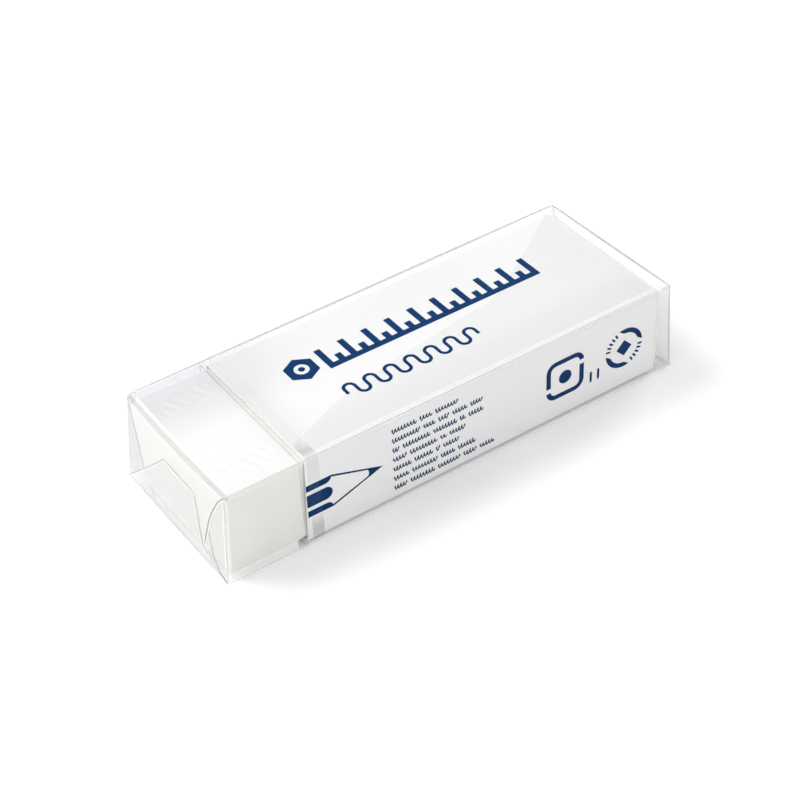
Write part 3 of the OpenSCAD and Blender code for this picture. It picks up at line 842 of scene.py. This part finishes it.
# %% Painted shade on the card's top
LAYER_GAP, LAYER_T = 0.03, 0.02
BORDER = np.array([(-21.9, -8.9), (-18.9, -7.6), (-11.9, -4.6), (-2.4, -2.6), (2.7, -1.8), (7.9, -0.9),
                   (12.6, -0.4), (15.3, 0.7), (19.1, 3.1), (23.8, 5.95), (28.0, 9.0), (31.0, 10.9)])
RIM = np.array([(-21.9, -11.2), (-18.9, -11.2), (-11.9, -11.2), (-2.4, -11.2), (2.7, -11.2), (7.9, -11.2),
                (16, -11.2), (24, -11.2), (31.0, -11.2), (31.0, -5.0), (31.0, 4.0), (31.0, 10.9)])
BACK_SHADE_FROM = np.array([(-32.5, -10.6), (-21.5, -10.6), (-20.0, -7.8), (-2.4, -2.5), (12.6, -0.3),
                       (28.0, 9.1)])
BACK_SHADE_TO = np.array([(x, 11.6) for x in (-32.5, -24.0, -18.0, 0.0, 14.0, 30.0)])


def on_top(x_y, drop):
    """Lifts (x, y) points to just under the film's top panel."""
    points = np.concatenate([x_y, np.full((*x_y.shape[:-1], 1), height)], -1)
    points = slack(points.reshape(-1, 3)).reshape(points.shape)
    return points - (0, 0, drop)


def painted_shade_layer(name, first, last, rows, columns, painted_shade):
    """A layer between two lines of (x, y) points, with its painted shade, from 0 to 1, as an attribute."""
    s = np.linspace(0, len(first) - 1, rows)
    ends = [np.stack([np.interp(s, np.arange(len(line)), line[:, k]) for k in (0, 1)], -1)
            for line in (first, last)]
    t = np.linspace(0, 1, columns)[None, :, None]
    spread = ends[0][:, None] * (1 - t) + ends[1][:, None] * t
    up = np.tile([0.0, 0.0, 1.0], (*spread.shape[:2], 1))
    layer = piece(name, sheet(on_top(spread, FILM_T + LAYER_GAP), up, LAYER_T), [SHADE_SHEET])
    mark(layer, "painted_shade", painted_shade)


def painted_shade_sheet():
    """A clear layer that darkens what lies under it by up to a quarter, by the painted_shade attribute:
    painted shade on the card.
    """
    made, tree, output = new_material("painted_shade_sheet")
    amount = put(tree, "ShaderNodeAttribute", attribute_name="painted_shade").outputs["Fac"]
    tint = put(tree, "ShaderNodeMix", {0: amount, 6: swatch("#FFFFFF"), 7: swatch("#DFE0E3")},
               data_type="RGBA").outputs[2]
    through = put(tree, "ShaderNodeBsdfTransparent", {"Color": tint}).outputs[0]
    open_way = put(tree, "ShaderNodeBsdfTransparent").outputs[0]
    seen = put(tree, "ShaderNodeMixShader", {0: seen_directly(tree), 1: open_way, 2: through}).outputs[0]
    tree.links.new(seen, output.inputs[0])
    return made


def rise(v, low, high):
    """0 below low, 1 above high and a smooth step between."""
    t = np.clip((v - low) / (high - low), 0, 1)
    return t * t * (3 - 2 * t)


def border_painted_shade(x, y, _):
    """Painted shade, strongest along the front edge, and a little more at the far end."""
    return 0.22 - 0.1 * rise(y, -9, -4) + 0.03 * rise(x, 20, 30)


def back_painted_shade(x, y, _):
    """Painted shade towards the back, more towards the bare end and none at the far end, and in a strip at
    the mouth.
    """
    along = 0.25 + 0.75 * rise(-x, 8, 22) + 0.5 * rise(-x, 22, 23)
    back = 0.3 * rise(y, -2, 8) * along * (1 - rise(x, 10, 24))
    return back + 0.18 * rise(-x, 17, 21.5) * (x > SLEEVE_LOW[0]) * (1 - rise(y, 2, 8))


SHADE_SHEET = painted_shade_sheet()
# Painted shade: these layers darken the card outside the curved border of the light on its top
painted_shade_layer("film_painted_shade", BORDER, RIM, 180, 40, border_painted_shade)
painted_shade_layer("film_painted_shade_back", BACK_SHADE_FROM, BACK_SHADE_TO, 120, 60, back_painted_shade)

# %% [markdown]
# The long edges of the wrap were pressed round the pack by the wrapping machine. Each shows
# as a fine dark line. Along the front, white beads are painted: a highlight along the top edge,
# and at the foot a reflection of the table that also lifts the shade under the card.

# %% The creased edges of the bag
EDGE_X, EDGE_Y, EDGE_Z = FILM_HIGH[0] - FOLD_ROOM - 0.17, FILM_HIGH[1] - 0.17, height - 0.17


def edge_bead(start, end, radius, count=140):
    """A fine bead from one corner of the bag to another, fading out at its ends."""
    line = slack(np.linspace(start, end, count))
    fade = np.clip(np.sin(pi * np.linspace(0, 1, count)), 0, 1) ** 0.2
    across = (0.0, 1.0, 0.0) if abs(end[0] - start[0]) > 1 else (1.0, 0.0, 0.0)
    return tube(line, radius * fade, 8, across)


NEAR_BACK, NEAR_FRONT = (-EDGE_X, EDGE_Y, EDGE_Z), (-EDGE_X, -EDGE_Y, EDGE_Z)
FAR_BACK, FAR_FRONT = (EDGE_X, EDGE_Y, EDGE_Z), (EDGE_X, -EDGE_Y, EDGE_Z)
dark_edges = [edge_bead(NEAR_BACK, FAR_BACK, 0.16), edge_bead(NEAR_FRONT, FAR_FRONT, 0.05),
              edge_bead(FAR_FRONT, FAR_BACK, 0.15), edge_bead((*FAR_FRONT[:2], 0.5), FAR_FRONT, 0.06),
              edge_bead((*NEAR_BACK[:2], 0.5), NEAR_BACK, 0.07)]
piece("film_edge_creases", joined(dark_edges), [SEAM])
# Along the sleeve's front: (y, z) and radius of the painted highlight above and of the painted reflection at
# the foot
painted_highlight_edges = [edge_bead((SLEEVE_LOW[0], *y_z), (EDGE_X, *y_z), radius)
               for y_z, radius in (((0.5 - EDGE_Y, height - 0.08), 0.06), ((-EDGE_Y, 0.36), 0.19))]
piece("film_edge_painted_highlights", joined(painted_highlight_edges), [WHITE_CREASE_AND_HIGHLIGHT])

# %% [markdown]
# The tear tape is a narrow band of thicker film inside the wrap. Pulling its tab cuts the
# wrap open beside the sleeve's mouth. It follows the inside of the film all the way round.

# %% The tear tape
TAPE_T = 0.05


def inner_ring(inset, arc=8):
    """The (y, z) points round the film's section, inset from its outer face."""
    ys, zs = film_ys[::3], film_zs[::3]
    points, _ = blown_box(np.array([0.0, 1.0]), ys, zs, BEND - inset, arc)
    count = 2 * (len(ys) + len(zs)) + 4 * (arc - 1)
    return points[arc * count:][:count, 1:]


outside_ring, inside_ring = inner_ring(FILM_T + 0.002), inner_ring(FILM_T + TAPE_T)


def loop(ring, xs):
    """A closed ring carried along x, given the film's slack."""
    points = np.empty((len(xs), len(ring), 3))
    points[..., 0], points[..., 1:] = xs[:, None], ring
    return slack(points.reshape(-1, 3)).reshape(points.shape)


def band(from_x, to_x, outer, inner):
    """A closed band round the pack: an outer and an inner ring, carried from one x to the other."""
    steps = np.linspace(from_x, to_x, 5)
    profile = np.concatenate([loop(outer, steps), loop(inner, steps[::-1])])
    profile = np.concatenate([profile, profile[:1]])
    return outward(profile.reshape(-1, 3), grid_faces(len(profile), len(outer), True))


def tape_cling(x, y, z):
    """On the front only: 1 low down, falling to 0 at 4.2 mm, and a soft spot near the top's edge."""
    value = np.clip((4.2 - z) / 1.5, 0, 1) + np.exp(-((y + 10.6) / 1.1) ** 2) * (z > 10) * 0.9
    return np.where((y > -5) | (z < 0.6), 0, np.clip(value, 0, 1))


tape_band = band(TAPE_LOW[0], TAPE_HIGH[0], outside_ring, inside_ring)
tape = piece("tear_tape_band", tape_band, [TAPE], ["tear_tape"])
mark(tape, "cling", tape_cling)

# %% [markdown]
# Where the film steps off the sleeve's mouth onto the thinner bare block it keeps a fine
# double crease all the way round.

# %% The crease at the sleeve's mouth
STEP_X, STEP_W = SLEEVE_LOW[0] - 0.75, 0.14
piece("film_mouth_crease", band(STEP_X, STEP_X + STEP_W, outside_ring, inside_ring), [STEP])

# %% [markdown]
# The stage is a plain table lit like a small product shot: a broad soft light above and
# behind the left end, weaker ones at the left and low in front, one at the right, and a pale
# room all round. The table and the room show as white to the camera and in mirror images,
# but light the pack at a plain level.

# %% Stage and light
SHOWN_WHITE, ROOM_LIGHT = 1.0, 0.547
TABLE_LIFT, TABLE_DROP, TABLE_HALF = 0.166, 0.02, 3000
FADE_FROM, FADE_TO = 140, 400
LAMP_DISTANCE = 450
# Name, direction from the pack, width and height, radiance
LAMPS = [("key_softbox", (-0.42, 0.5, 0.75), (240, 240), 7.6),
         ("left_softbox", (-1.0, -0.1, 0.4), (260, 200), 3.4),
         ("front_fill", (0.1, -1.0, 0.16), (400, 120), 3.65),
         ("right_fill", (1.0, 0.35, 0.5), (200, 200), 5.0)]


def plain_room():
    """The world: white where it is seen, and paler as a light."""
    world = bpy.data.worlds.new("plain_room")
    bpy.context.scene.world = world
    world.use_nodes = True
    tree = world.node_tree
    tree.nodes.clear()
    level = put(tree, "ShaderNodeMapRange", {0: seen_directly(tree), 3: ROOM_LIGHT, 4: SHOWN_WHITE})
    air = put(tree, "ShaderNodeBackground", {"Color": swatch("#FFFFFF"), "Strength": level.outputs[0]})
    tree.links.new(air.outputs[0], put(tree, "ShaderNodeOutputWorld").inputs[0])


def table_top():
    """A matt white table: a diffuse sheet, lifted to white where it is seen and unshaded.

    Far from the pack, where the lamps don't reach, it fades into the white of the room."""
    made, tree, output = new_material("matt_white_table")
    glow = put(tree, "ShaderNodeMath", {0: seen_directly(tree), 1: TABLE_LIFT}, operation="MULTIPLY")
    paper = put(tree, "ShaderNodeBsdfDiffuse", {"Color": swatch("#EDEDED")})
    lift = put(tree, "ShaderNodeEmission", {"Color": swatch("#FFFFFF"), "Strength": glow.outputs[0]})
    both = put(tree, "ShaderNodeAddShader", {0: paper.outputs[0], 1: lift.outputs[0]})
    spot = put(tree, "ShaderNodeTexCoord").outputs["Object"]
    away = put(tree, "ShaderNodeVectorMath", {0: spot}, operation="LENGTH").outputs["Value"]
    fade = put(tree, "ShaderNodeMapRange", {0: away, 1: FADE_FROM * MM, 2: FADE_TO * MM}).outputs[0]
    shown = put(tree, "ShaderNodeMath", {0: fade, 1: seen_directly(tree)}, operation="MULTIPLY").outputs[0]
    white = put(tree, "ShaderNodeEmission", {"Color": swatch("#FFFFFF"), "Strength": SHOWN_WHITE}).outputs[0]
    whole = put(tree, "ShaderNodeMixShader", {0: shown, 1: both.outputs[0], 2: white}).outputs[0]
    tree.links.new(whole, output.inputs[0])
    return made


def soft_light(name, towards, size, radiance):
    """A lamp that faces the pack. Its power is radiance * pi * area."""
    lamp = bpy.data.lights.new(name, "AREA")
    lamp.shape, lamp.size, lamp.size_y = "RECTANGLE", size[0] * MM, size[1] * MM
    lamp.energy = radiance * pi * lamp.size * lamp.size_y
    made = bpy.data.objects.new(name, lamp)
    outwards = Vector(towards).normalized()
    across = Vector((0, 0, 1)).cross(outwards).normalized()
    turn = Matrix((across, outwards.cross(across), outwards)).transposed().to_4x4()
    made.matrix_world = Matrix.Translation(outwards * LAMP_DISTANCE * MM) @ turn
    bpy.context.scene.collection.objects.link(made)


plain_room()
corners = np.array([(-1, -1, 0), (1, -1, 0), (1, 1, 0), (-1, 1, 0)]) * TABLE_HALF - (0, 0, TABLE_DROP)
table_mesh = bpy.data.meshes.new("table_top")
table_mesh.from_pydata((corners * MM).tolist(), [], [(0, 1, 2, 3)])
table_mesh.materials.append(table_top())
table = bpy.data.objects.new("table_top", table_mesh)
bpy.context.scene.collection.objects.link(table)
for lamp in LAMPS:
    soft_light(*lamp)

# %% [markdown]
# The clear layers lie one behind the other, so a ray may pass many of them before it meets
# the card.

# %% Close
bpy.context.scene.cycles.transparent_max_bounces = 32
bpy.context.scene.view_settings.view_transform = "Standard"
